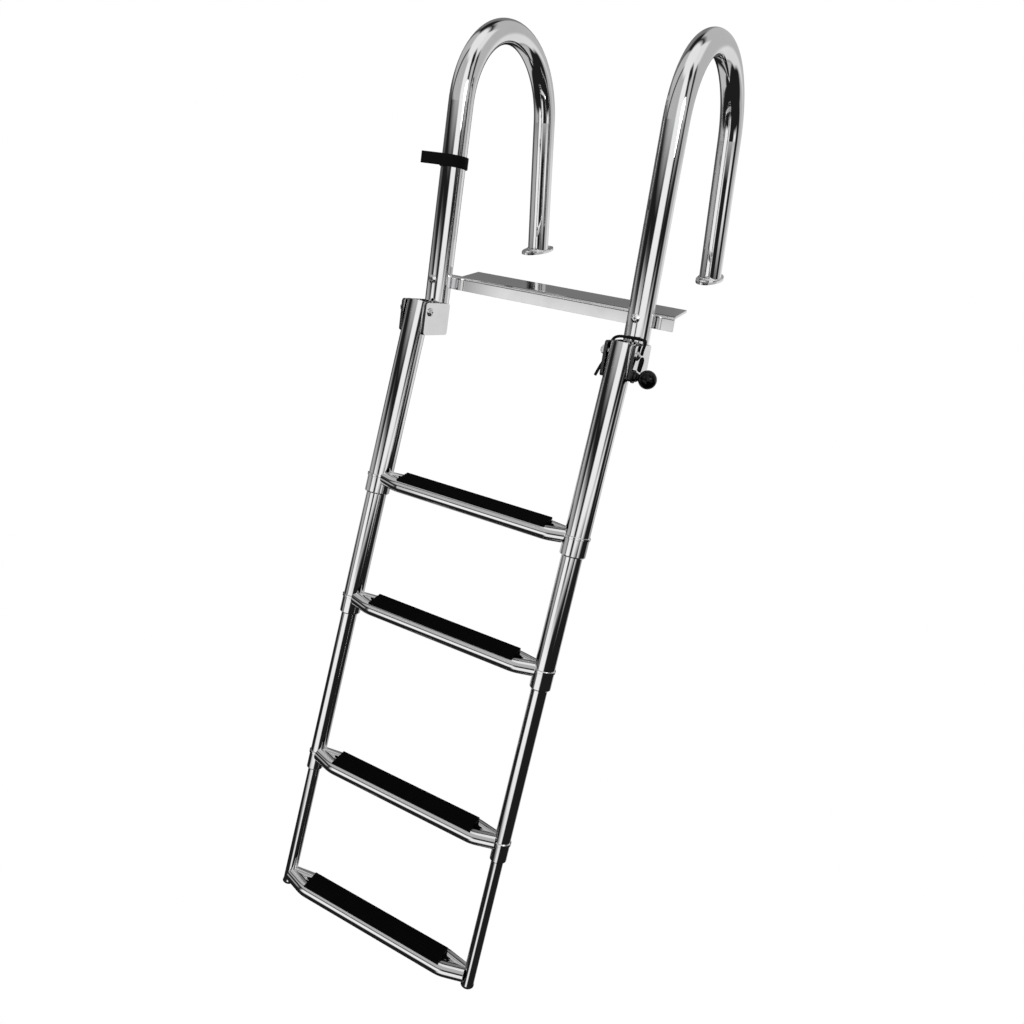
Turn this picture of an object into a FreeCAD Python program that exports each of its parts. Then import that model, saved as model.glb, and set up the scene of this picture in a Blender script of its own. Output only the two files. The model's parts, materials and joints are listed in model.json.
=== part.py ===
import FreeCAD, Part
import math
import os

import Sketcher

# Folding boat ladder: two hooked handrails stand on a deck, and a four-section
# telescoping ladder hangs from a pivot at their lower ends.
# X runs across the ladder, +Y inboard, +Z up. The origin is the middle of the
# deck angle's underside, and the deck's top is the plane z = 0.

sizes = {
    # handrails
    "stile_pitch": 292,
    "cane_diameter": 32,
    "cane_wall": 1.5,
    "hook_radius": 114,
    "hook_rake": 12.2,
    "hook_centre_height": 193,
    # feet
    "foot_length": 84,
    "foot_width": 36,
    "foot_thickness": 3.5,
    "foot_end_radius": 10,
    "foot_hole_pitch": 62,
    "foot_hole_diameter": 6.5,
    "countersink_diameter": 12,
    # deck angle: its flange lies on the deck and its lip hangs over the edge
    "angle_length": 367,
    "angle_depth": 44,
    "angle_lip": 18,
    "angle_thickness": 3,
    "angle_bend_radius": 5,
    # fits
    "seat_gap": 0.1,
    "bolt_clearance": 0.05,
    "slide_clearance": 0.3,
    "tread_clearance": 0.3,
    # hinge brackets
    "pivot_drop": 33,
    "pivot_offset": 40.5,
    "cheek_thickness": 3.5,
    "cheek_top": 12,
    "cheek_bottom": 30,
    "cheek_front": 10,
    "cheek_rear": 3,
    "cheek_corner_radius": 4,
    "cane_end_margin": 2,
    # bolts
    "bolt_diameter": 6,
    "bolt_head_diameter": 11,
    "bolt_head_height": 3.2,
    "bolt_head_edge": 1.2,
    "nut_across_corners": 11,
    "nut_height": 5,
    "bolt_end": 1.5,
    "leg_bolt_drop": 1.5,
    # telescoping stiles: reaches run from the pivot down to each lower end
    "stile_rake": 22.6,
    "stile_top": 11.5,
    "stile_wall": 1.2,
    "stile_1_diameter": 31.5,
    "stile_2_diameter": 26,
    "stile_3_diameter": 20.5,
    "stile_4_diameter": 15.5,
    "reach_1": 247.5,
    "reach_2": 414,
    "reach_3": 635.5,
    "reach_4": 802.5,
    "stile_overlap": 60,
    # slide collars
    "collar_length": 25,
    "collar_oversize": 0.25,
    "collar_chamfer": 1.5,
    "ring_height": 3,
    "ring_oversize": 1.25,
    "spigot_length": 18,
    "spigot_clearance": 0.05,
    # steps
    "rail_rise": 24,
    "last_rail_rise": 16,
    "rail_wall": 1.2,
    "front_rail_diameter": 18,
    "front_rail_offset": 11.8,
    "front_rail_angle": 15,
    "rear_rail_diameter": 13.5,
    "rear_rail_offset": 6,
    "rear_rail_angle": 8,
    "rail_straight": 208,
    "rail_bend_radius": 50,
    "rail_end_share": 0.4,
    "mitre_offset": 1.5,
    "mitre_gap": 0.1,
    "tread_length": 216,
    "tread_front": 15.3,
    "tread_rear": 8.1,
    "tread_top": 10.8,
    "tread_plate": 3,
    "core_front": 10,
    "core_rear": 4.5,
    "core_drop": 6,
    "nose_reach": 115,
    "nose_root": 4,
    "nose_tip": 1,
    "nose_drop": 5.8,
    "groove_width": 1.4,
    "groove_depth": 0.6,
    "groove_pitch": 4.2,
    "groove_count": 5,
    # end plugs
    "plug_head": 3,
    "plug_oversize": 0.5,
    "plug_spigot": 12,
    # storage strap
    "strap_height": 139,
    "strap_width": 15,
    "strap_thickness": 3,
    "strap_tab": 27,
    # spring lock
    "lock_drop": 24,
    "lock_pin_diameter": 5,
    "lock_nose_diameter": 9,
    "lock_disc_diameter": 15.5,
    "lock_disc_thickness": 2.4,
    "lock_hub_diameter": 11,
    "lock_hub_height": 5.9,
    "lock_ball_diameter": 25,
    "lock_ball_reach": 19,
    "lock_neck_diameter": 8,
    "lock_gap": 0.6,
    # lanyard
    "cord_diameter": 3.6,
}

doc = FreeCAD.newDocument("boat_ladder")
sheet = doc.addObject("Spreadsheet::Sheet", "Sizes")
for row, (alias, value) in enumerate(sizes.items(), start=1):
    sheet.set(f"A{row}", alias)
    sheet.set(f"B{row}", str(value))
    sheet.setAlias(f"B{row}", alias)
doc.recompute()

SIDES = {"left": -1, "right": 1}
SECTIONS = (1, 2, 3, 4)
COLLARED = (1, 2, 3)
parts = []


def number(formula):
    result = sheet.evalExpression(formula)
    return float(getattr(result, "Value", result))


# Places that several pieces share, as formulas of the sheet's cells.
rake = "Sizes.hook_rake"
lean = "Sizes.stile_rake"
cane_seat = "(Sizes.cane_diameter / 2 + Sizes.seat_gap)"
lip_top_y = f"(-Sizes.angle_depth / 2 - Sizes.angle_thickness * tan({rake}))"
leg_y = f"({lip_top_y} - {cane_seat} / cos({rake}))"
hook_span = (
    f"((Sizes.hook_radius * (1 + cos({rake})) + Sizes.hook_centre_height * sin({rake})) / cos({rake}))"
)
foot_y = f"({leg_y} + {hook_span})"
leg_pivot_z = f"(-Sizes.pivot_drop - Sizes.pivot_offset * sin({rake}))"
pivot_y = f"({leg_y} + {leg_pivot_z} * tan({rake}) - Sizes.pivot_offset * cos({rake}))"
pivot_z = "(-Sizes.pivot_drop)"
cheek_face = f"({cane_seat} + Sizes.cheek_thickness)"


def stile_radius(section):
    return f"(Sizes.stile_{section}_diameter / 2)"


def stile_y(reach):
    return f"({pivot_y} - ({reach}) * sin({lean}))"


def stile_z(reach):
    return f"({pivot_z} - ({reach}) * cos({lean}))"


def new_body(label):
    body = doc.addObject("PartDesign::Body", label)
    body.Label = label
    parts.append(body)
    return body


def origin_feature(body, role):
    return next(feature for feature in body.Origin.OriginFeatures if feature.Role == role)


def new_sketch(body, role, name):
    sketch = body.newObject("Sketcher::SketchObject", name)
    sketch.AttachmentSupport = [(origin_feature(body, role), "")]
    sketch.MapMode = "FlatFace"
    return sketch


def bind(sketch, kind, geometry, formula):
    index = sketch.addConstraint(Sketcher.Constraint(kind, *geometry, number(formula)))
    name = f"{kind}{index}"
    sketch.renameConstraint(index, name)
    sketch.setExpression(f"Constraints.{name}", formula)


def place(item, x="0", y="0", z="0", axis=(1, 0, 0), angle="0"):
    turn = FreeCAD.Rotation(FreeCAD.Vector(*axis), 1)
    item.Placement = FreeCAD.Placement(FreeCAD.Vector(), turn)
    for coordinate, formula in (("x", x), ("y", y), ("z", z)):
        item.setExpression(f"Placement.Base.{coordinate}", formula)
    item.setExpression("Placement.Rotation.Angle", angle)


def outline(body, role, name, corners):
    sketch = new_sketch(body, role, name)
    spots = [FreeCAD.Vector(number(x), number(y), 0) for x, y in corners]
    count = len(spots)
    for k in range(count):
        sketch.addGeometry(Part.LineSegment(spots[k], spots[(k + 1) % count]), False)
    for k in range(count):
        sketch.addConstraint(Sketcher.Constraint("Coincident", k, 2, (k + 1) % count, 1))
    for k, (x, y) in enumerate(corners):
        bind(sketch, "DistanceX", (k, 1), x)
        bind(sketch, "DistanceY", (k, 1), y)
    return sketch


def ring_sketch(body, role, name, diameters, x="0", y="0"):
    sketch = new_sketch(body, role, name)
    middle = FreeCAD.Vector(number(x), number(y), 0)
    for k, diameter in enumerate(diameters):
        radius = number(diameter) / 2
        sketch.addGeometry(Part.Circle(middle, FreeCAD.Vector(0, 0, 1), radius), False)
        bind(sketch, "DistanceX", (k, 3), x)
        bind(sketch, "DistanceY", (k, 3), y)
        bind(sketch, "Radius", (k,), f"({diameter}) / 2")
    return sketch


def pad(body, sketch, length, midplane=False):
    feature = body.newObject("PartDesign::Pad", sketch.Name + "Pad")
    feature.Profile = sketch
    feature.Midplane = midplane
    feature.setExpression("Length", length)
    sketch.Visibility = False
    return feature


def revolve(body, sketch):
    feature = body.newObject("PartDesign::Revolution", sketch.Name + "Turn")
    feature.Profile = sketch
    feature.ReferenceAxis = (sketch, ["V_Axis"])
    feature.Angle = 360
    return feature


def bent_path(body, role, name, start, heading, runs, bends):
    # Straight runs joined by tangent arcs; a positive turn is counter-clockwise.
    sketch = new_sketch(body, role, name)
    spot = FreeCAD.Vector(number(start[0]), number(start[1]), 0)
    facing = number(heading)
    headings = [heading]
    for k, run in enumerate(runs):
        ahead = FreeCAD.Vector(math.cos(math.radians(facing)), math.sin(math.radians(facing)), 0)
        end = spot + ahead * number(run)
        sketch.addGeometry(Part.LineSegment(spot, end), False)
        if k < len(bends):
            radius, turn = number(bends[k][0]), number(bends[k][1])
            side = 1 if turn > 0 else -1
            middle = end + FreeCAD.Vector(-ahead.y, ahead.x, 0) * radius * side
            first = math.radians(facing - 90 * side)
            last = first + math.radians(turn)
            circle = Part.Circle(middle, FreeCAD.Vector(0, 0, 1), radius)
            sketch.addGeometry(Part.ArcOfCircle(circle, min(first, last), max(first, last)), False)
            spot = middle + FreeCAD.Vector(math.cos(last), math.sin(last), 0) * radius
            facing += turn
            headings.append(f"{headings[-1]} + {bends[k][1]}")
    bind(sketch, "DistanceX", (0, 1), start[0])
    bind(sketch, "DistanceY", (0, 1), start[1])
    for k, run in enumerate(runs):
        bind(sketch, "Distance", (2 * k,), run)
        if k < len(bends):
            begin, finish = (1, 2) if number(bends[k][1]) > 0 else (2, 1)
            sketch.addConstraint(Sketcher.Constraint("Tangent", 2 * k, 2, 2 * k + 1, begin))
            sketch.addConstraint(Sketcher.Constraint("Tangent", 2 * k + 1, finish, 2 * k + 2, 1))
            bind(sketch, "Radius", (2 * k + 1,), bends[k][0])
    sketch.addConstraint(Sketcher.Constraint("Angle", 0, math.radians(number(heading))))
    for k in range(1, len(runs)):
        index = sketch.addConstraint(
            Sketcher.Constraint("Angle", 2 * k, math.radians(number(headings[k])))
        )
        sketch.renameConstraint(index, f"Heading{k}")
        sketch.setExpression(f"Constraints.Heading{k}", f"({headings[k]}) * 1 deg")
    return sketch


def pipe(body, profile, path):
    feature = body.newObject("PartDesign::AdditivePipe", path.Name + "Pipe")
    feature.Profile = profile
    feature.Spine = path
    return feature


def bore(body, name, radius, height, x="0", y="0", z="0", axis=(1, 0, 0), angle="0"):
    # A round cut of the given height, starting at its placed base.
    feature = body.newObject("PartDesign::SubtractiveCylinder", name)
    feature.setExpression("Radius", radius)
    feature.setExpression("Height", height)
    place(feature, x, y, z, axis, angle)
    return feature


def straight_edges(shape, direction):
    wanted = FreeCAD.Vector(*direction)
    for k, edge in enumerate(shape.Edges, start=1):
        if isinstance(edge.Curve, Part.Line) and abs(edge.Curve.Direction.dot(wanted)) > 0.999:
            yield f"Edge{k}", edge.CenterOfMass


def fillet(body, base, names, radius):
    feature = body.newObject("PartDesign::Fillet", base.Name + "Fillet")
    feature.Base = (base, names)
    feature.setExpression("Radius", radius)
    return feature


# Handrails: one bent tube each, from the foot over the hook to the hinge bracket.
end_z = f"({leg_pivot_z} - (Sizes.cheek_bottom - Sizes.cane_end_margin) * cos({rake}))"
crown_end_z = f"(Sizes.hook_centre_height + Sizes.hook_radius * sin({rake}))"
front_leg = f"(({crown_end_z} - {end_z}) / cos({rake}))"
rear_leg = "(Sizes.hook_centre_height - Sizes.foot_thickness)"
leg_bolt_z = "(-Sizes.leg_bolt_drop)"
leg_bolt_y = f"({leg_y} + {leg_bolt_z} * tan({rake}))"
for side, sign in SIDES.items():
    cane = new_body(f"{side}_handrail")
    path = bent_path(
        cane, "YZ_Plane", f"{side}_hook_line", ("0", "0"), "90",
        [rear_leg, front_leg], [("Sizes.hook_radius", f"(180 - {rake})")],
    )
    tube = ring_sketch(
        cane, "XY_Plane", f"{side}_cane_ring",
        ["Sizes.cane_diameter", "Sizes.cane_diameter - 2 * Sizes.cane_wall"],
    )
    pipe(cane, tube, path)
    bore(
        cane, f"{side}_leg_bolt_hole", "Sizes.bolt_diameter / 2 + Sizes.bolt_clearance",
        "Sizes.cane_diameter + 2 * Sizes.angle_thickness",
        y=f"{leg_bolt_y} - {foot_y} + (Sizes.cane_diameter / 2 + Sizes.angle_thickness) * cos({rake})",
        z=f"{leg_bolt_z} - Sizes.foot_thickness"
          f" - (Sizes.cane_diameter / 2 + Sizes.angle_thickness) * sin({rake})",
        angle=f"90 - {rake}",
    )
    place(cane, f"{sign} * Sizes.stile_pitch / 2", foot_y, "Sizes.foot_thickness")

# Foot flanges: oval plates under the rear legs, with two countersunk screw holes.
end_middle = "(Sizes.foot_length / 2 - Sizes.foot_end_radius)"
side_radius = (
    f"(({end_middle} ^ 2 + (Sizes.foot_width / 2) ^ 2 - Sizes.foot_end_radius ^ 2)"
    " / (Sizes.foot_width - 2 * Sizes.foot_end_radius))"
)
for side, sign in SIDES.items():
    foot = new_body(f"{side}_foot_flange")
    sketch = new_sketch(foot, "XY_Plane", f"{side}_foot_oval")
    large = number(side_radius)
    drop = large - number("Sizes.foot_width / 2")
    half_arc = math.acos(drop / large)
    for middle, facing in ((drop, math.pi), (-drop, 0)):
        circle = Part.Circle(FreeCAD.Vector(middle, 0, 0), FreeCAD.Vector(0, 0, 1), large)
        sketch.addGeometry(Part.ArcOfCircle(circle, facing - half_arc, facing + half_arc), False)
    sketch.addConstraint(Sketcher.Constraint("Coincident", 0, 2, 1, 1))
    sketch.addConstraint(Sketcher.Constraint("Coincident", 1, 2, 0, 1))
    for k, sense in ((0, ""), (1, "-")):
        sketch.addConstraint(Sketcher.Constraint("PointOnObject", k, 3, -1))
        bind(sketch, "DistanceX", (k, 3), f"{sense}({side_radius} - Sizes.foot_width / 2)")
        bind(sketch, "Radius", (k,), side_radius)
    plate = pad(foot, sketch, "Sizes.foot_thickness")
    doc.recompute()
    tips = [name for name, at in straight_edges(plate.Shape, (0, 0, 1))]
    fillet(foot, plate, tips, "Sizes.foot_end_radius")
    for k, turn in (("a", 1), ("b", -1)):
        at = f"{turn} * Sizes.foot_hole_pitch / 2"
        bore(foot, f"{side}_screw_hole_{k}", "Sizes.foot_hole_diameter / 2", "Sizes.foot_thickness", y=at)
        sink = foot.newObject("PartDesign::SubtractiveCone", f"{side}_countersink_{k}")
        sink.setExpression("Radius1", "Sizes.foot_hole_diameter / 2")
        sink.setExpression("Radius2", "Sizes.countersink_diameter / 2")
        sink.setExpression("Height", "(Sizes.countersink_diameter - Sizes.foot_hole_diameter) / 2")
        place(
            sink, y=at,
            z="Sizes.foot_thickness - (Sizes.countersink_diameter - Sizes.foot_hole_diameter) / 2",
        )
    place(foot, f"{sign} * Sizes.stile_pitch / 2", foot_y)

# Deck angle: a folded strip on the deck, its lip lying on the legs.
angle = new_body("deck_angle")
edge_y = "-Sizes.angle_depth / 2"
fold_y = f"({edge_y} + Sizes.angle_thickness * (1 - sin({rake})) / cos({rake}))"
lip_foot_y = f"({edge_y} - Sizes.angle_lip * sin({rake}))"
lip_foot_z = f"(Sizes.angle_thickness - Sizes.angle_lip * cos({rake}))"
profile = outline(angle, "YZ_Plane", "angle_profile", [
    (edge_y, "Sizes.angle_thickness"),
    (lip_foot_y, lip_foot_z),
    (f"{lip_foot_y} + Sizes.angle_thickness * cos({rake})",
     f"{lip_foot_z} - Sizes.angle_thickness * sin({rake})"),
    (fold_y, "0"),
    ("Sizes.angle_depth / 2", "0"),
    ("Sizes.angle_depth / 2", "Sizes.angle_thickness"),
])
strip = pad(angle, profile, "Sizes.angle_length", midplane=True)


def fold_edges(shape, y, z):
    found = straight_edges(shape, (1, 0, 0))
    return [name for name, at in found if math.hypot(at.y - number(y), at.z - number(z)) < 0.01]


doc.recompute()
outer = fillet(
    angle, strip, fold_edges(strip.Shape, edge_y, "Sizes.angle_thickness"), "Sizes.angle_bend_radius"
)
doc.recompute()
fillet(
    angle, outer, fold_edges(outer.Shape, fold_y, "0"), "Sizes.angle_bend_radius - Sizes.angle_thickness"
)
for side, sign in SIDES.items():
    bore(
        angle, f"{side}_lip_hole", "Sizes.bolt_diameter / 2 + Sizes.bolt_clearance",
        "3 * Sizes.angle_thickness",
        x=f"{sign} * Sizes.stile_pitch / 2",
        y=f"{leg_bolt_y} + (Sizes.cane_diameter / 2 + 2 * Sizes.angle_thickness) * cos({rake})",
        z=f"{leg_bolt_z} - (Sizes.cane_diameter / 2 + 2 * Sizes.angle_thickness) * sin({rake})",
        angle=f"90 - {rake}",
    )
place(angle)


# Bolts: a domed head on +Z and a plain shank down to the tip.
def bolt(label, head_seat, tip):
    body = new_body(label)
    head_top = f"{head_seat} + Sizes.bolt_head_height"
    shank = "Sizes.bolt_diameter / 2"
    shape = outline(body, "XZ_Plane", f"{label}_profile", [
        ("0", tip),
        (shank, tip),
        (shank, head_seat),
        ("Sizes.bolt_head_diameter / 2", head_seat),
        ("Sizes.bolt_head_diameter / 2", f"{head_seat} + Sizes.bolt_head_edge"),
        ("Sizes.bolt_head_diameter / 4", head_top),
        ("0", head_top),
    ])
    revolve(body, shape)
    return body


for side, sign in SIDES.items():
    # The leg bolt screws into the lip and ends flush with its inboard side.
    lip_back = f"-({cane_seat} + Sizes.angle_thickness)"
    leg_bolt = bolt(f"{side}_leg_bolt", cane_seat, lip_back)
    place(
        leg_bolt, f"{sign} * Sizes.stile_pitch / 2", leg_bolt_y, leg_bolt_z,
        angle=f"90 - {rake}",
    )
    nut_seat = f"({cheek_face} + Sizes.seat_gap)"
    bolt_tip = f"(-{nut_seat} - Sizes.nut_height - Sizes.bolt_end)"
    pivot_bolt = bolt(f"{side}_pivot_bolt", nut_seat, bolt_tip)
    nut = pivot_bolt.newObject("PartDesign::AdditivePrism", f"{side}_pivot_nut")
    nut.Polygon = 6
    nut.setExpression("Circumradius", "Sizes.nut_across_corners / 2")
    nut.setExpression("Height", "Sizes.nut_height")
    place(nut, z=f"-{nut_seat} - Sizes.nut_height")
    place(
        pivot_bolt, f"{sign} * Sizes.stile_pitch / 2", pivot_y, pivot_z, axis=(0, 1, 0), angle="90"
    )

# Hinge brackets: two cheek plates on each leg's end, square to the leg.
for side, sign in SIDES.items():
    for cheek_name, out in (("inner", -sign), ("outer", sign)):
        cheek = new_body(f"{side}_{cheek_name}_cheek")
        plate_sketch = outline(cheek, "YZ_Plane", f"{side}_{cheek_name}_cheek_profile", [
            ("-Sizes.cheek_front", "-Sizes.cheek_bottom"),
            ("Sizes.pivot_offset + Sizes.cheek_rear", "-Sizes.cheek_bottom"),
            ("Sizes.pivot_offset + Sizes.cheek_rear", "Sizes.cheek_top"),
            ("-Sizes.cheek_front", "Sizes.cheek_top"),
        ])
        plate = pad(cheek, plate_sketch, "Sizes.cheek_thickness", midplane=True)
        doc.recompute()
        corners = [name for name, at in straight_edges(plate.Shape, (1, 0, 0))]
        fillet(cheek, plate, corners, "Sizes.cheek_corner_radius")
        bore(
            cheek, f"{side}_{cheek_name}_pivot_hole",
            "Sizes.bolt_diameter / 2 + Sizes.bolt_clearance", "2 * Sizes.cheek_thickness",
            x="-Sizes.cheek_thickness", axis=(0, 1, 0), angle="90",
        )
        if (side, cheek_name) == ("right", "outer"):
            bore(
                cheek, "lock_seat", "Sizes.lock_nose_diameter / 2 + Sizes.bolt_clearance",
                "2 * Sizes.cheek_thickness",
                x="-Sizes.cheek_thickness",
                y=f"-Sizes.lock_drop * sin({lean} - {rake})",
                z=f"-Sizes.lock_drop * cos({lean} - {rake})",
                axis=(0, 1, 0), angle="90",
            )
        place(
            cheek,
            f"{sign} * Sizes.stile_pitch / 2 + {out} * ({cane_seat} + Sizes.cheek_thickness / 2)",
            pivot_y, pivot_z, angle=f"-{rake}",
        )

# Storage strap: a webbing loop round the left leg with its free end standing out.
loop = doc.addObject("Part::Cylinder", "StrapLoop")
loop.setExpression("Radius", "Sizes.cane_diameter / 2 + Sizes.tread_clearance + Sizes.strap_thickness")
loop.setExpression("Height", "Sizes.strap_width")
tab = doc.addObject("Part::Box", "StrapTab")
tab.setExpression("Length", "Sizes.strap_tab + Sizes.cane_diameter / 2")
tab.setExpression("Width", "Sizes.strap_thickness")
tab.setExpression("Height", "Sizes.strap_width")
place(
    tab, x="-Sizes.strap_tab - Sizes.cane_diameter / 2",
    y="-Sizes.cane_diameter / 2 - Sizes.tread_clearance - Sizes.strap_thickness",
)
leg_room = doc.addObject("Part::Cylinder", "StrapRoom")
leg_room.setExpression("Radius", "Sizes.cane_diameter / 2 + Sizes.tread_clearance")
leg_room.setExpression("Height", "Sizes.strap_width")
webbing = doc.addObject("Part::Fuse", "StrapWebbing")
webbing.Base = loop
webbing.Tool = tab
strap = doc.addObject("Part::Cut", "storage_strap")
strap.Label = "storage_strap"
strap.Base = webbing
strap.Tool = leg_room
place(
    strap, "-Sizes.stile_pitch / 2", f"{leg_y} + Sizes.strap_height * tan({rake})",
    "Sizes.strap_height", angle=f"-{rake}",
)
parts.append(strap)

# Spring lock on the right outer cheek: a flanged housing and the knob on its pin.
lock_x = f"(Sizes.stile_pitch / 2 + {cheek_face})"
pin_bore = "Sizes.lock_pin_diameter / 2 + Sizes.bolt_clearance"
housing = new_body("lock_housing")
housing_profile = outline(housing, "XZ_Plane", "housing_profile", [
    (pin_bore, "-Sizes.cheek_thickness"),
    ("Sizes.lock_nose_diameter / 2", "-Sizes.cheek_thickness"),
    ("Sizes.lock_nose_diameter / 2", "0"),
    ("Sizes.lock_disc_diameter / 2", "0"),
    ("Sizes.lock_disc_diameter / 2", "Sizes.lock_disc_thickness"),
    ("Sizes.lock_hub_diameter / 2", "Sizes.lock_disc_thickness"),
    ("Sizes.lock_hub_diameter / 2", "Sizes.lock_hub_height"),
    (pin_bore, "Sizes.lock_hub_height"),
])
revolve(housing, housing_profile)
place(housing, lock_x, stile_y("Sizes.lock_drop"), stile_z("Sizes.lock_drop"), axis=(0, 1, 0), angle="90")

knob = new_body("lock_knob")
pin = knob.newObject("PartDesign::AdditiveCylinder", "lock_pin")
pin.setExpression("Radius", "Sizes.lock_pin_diameter / 2")
pin.setExpression("Height", "Sizes.cheek_thickness + Sizes.lock_ball_reach")
place(pin, z="-Sizes.cheek_thickness")
neck = knob.newObject("PartDesign::AdditiveCylinder", "lock_neck")
neck.setExpression("Radius", "Sizes.lock_neck_diameter / 2")
neck.setExpression("Height", "Sizes.lock_ball_reach - Sizes.lock_hub_height - Sizes.lock_gap")
place(neck, z="Sizes.lock_hub_height + Sizes.lock_gap")
ball = knob.newObject("PartDesign::AdditiveSphere", "lock_ball")
ball.setExpression("Radius", "Sizes.lock_ball_diameter / 2")
place(ball, z="Sizes.lock_ball_reach")
place(knob, lock_x, stile_y("Sizes.lock_drop"), stile_z("Sizes.lock_drop"), axis=(0, 1, 0), angle="90")

# Ladder sections: two stile tubes each, sliding in the collars of the one above.
for section in SECTIONS:
    outer_radius = stile_radius(section)
    if section == 1:
        top = "-Sizes.stile_top"
    else:
        top = f"(Sizes.reach_{section - 1} - Sizes.stile_overlap)"
    if section in COLLARED:
        foot_reach = f"(Sizes.reach_{section} - Sizes.collar_length)"
    else:
        foot_reach = f"(Sizes.reach_{section} - Sizes.plug_head)"
    for side, sign in SIDES.items():
        stile = new_body(f"section_{section}_{side}_stile")
        tube = ring_sketch(
            stile, "XY_Plane", f"stile_{section}_{side}_ring",
            [f"2 * {outer_radius}", f"2 * ({outer_radius} - Sizes.stile_wall)"],
        )
        pad(stile, tube, f"{foot_reach} - {top}")
        if section == 1:
            bore(
                stile, f"stile_{side}_pivot_hole",
                "Sizes.bolt_diameter / 2 + Sizes.bolt_clearance", f"4 * {outer_radius}",
                x=f"-2 * {outer_radius}", z=foot_reach, axis=(0, 1, 0), angle="90",
            )
        if (section, side) == (1, "right"):
            bore(
                stile, "stile_lock_hole",
                "Sizes.lock_pin_diameter / 2 + Sizes.slide_clearance", f"2 * {outer_radius}",
                z=f"{foot_reach} - Sizes.lock_drop", axis=(0, 1, 0), angle="90",
            )
        place(
            stile, f"{sign} * Sizes.stile_pitch / 2", stile_y(foot_reach), stile_z(foot_reach),
            angle=f"-{lean}",
        )

# Collars: turned bushes in the lower end of sections 1 to 3.
for section in COLLARED:
    for side, sign in SIDES.items():
        collar = new_body(f"section_{section}_{side}_collar")
        hole = f"({stile_radius(section + 1)} + Sizes.slide_clearance)"
        sleeve = f"({stile_radius(section)} + Sizes.collar_oversize)"
        ring = f"({stile_radius(section)} + Sizes.ring_oversize)"
        spigot = f"({stile_radius(section)} - Sizes.stile_wall - Sizes.spigot_clearance)"
        collar_profile = outline(collar, "XZ_Plane", f"collar_{section}_{side}_profile", [
            (hole, "0"),
            (f"{sleeve} - Sizes.collar_chamfer", "0"),
            (sleeve, "Sizes.collar_chamfer"),
            (sleeve, "Sizes.collar_length - Sizes.ring_height"),
            (ring, "Sizes.collar_length - Sizes.ring_height"),
            (ring, "Sizes.collar_length"),
            (spigot, "Sizes.collar_length"),
            (spigot, "Sizes.collar_length + Sizes.spigot_length"),
            (hole, "Sizes.collar_length + Sizes.spigot_length"),
        ])
        revolve(collar, collar_profile)
        reach = f"Sizes.reach_{section}"
        place(
            collar, f"{sign} * Sizes.stile_pitch / 2", stile_y(reach), stile_z(reach), angle=f"-{lean}"
        )

# End plugs: moulded caps in the lowest tubes.
for side, sign in SIDES.items():
    plug = new_body(f"section_4_{side}_end_plug")
    cap = f"({stile_radius(4)} + Sizes.plug_oversize)"
    stem = f"({stile_radius(4)} - Sizes.stile_wall - Sizes.spigot_clearance)"
    plug_profile = outline(plug, "XZ_Plane", f"plug_{side}_profile", [
        ("0", "0"),
        (f"{cap} - Sizes.plug_head / 2", "0"),
        (cap, "Sizes.plug_head / 2"),
        (cap, "Sizes.plug_head"),
        (stem, "Sizes.plug_head"),
        (stem, "Sizes.plug_head + Sizes.plug_spigot"),
        ("0", "Sizes.plug_head + Sizes.plug_spigot"),
    ])
    revolve(plug, plug_profile)
    place(
        plug, f"{sign} * Sizes.stile_pitch / 2", stile_y("Sizes.reach_4"), stile_z("Sizes.reach_4"),
        angle=f"-{lean}",
    )

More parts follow.
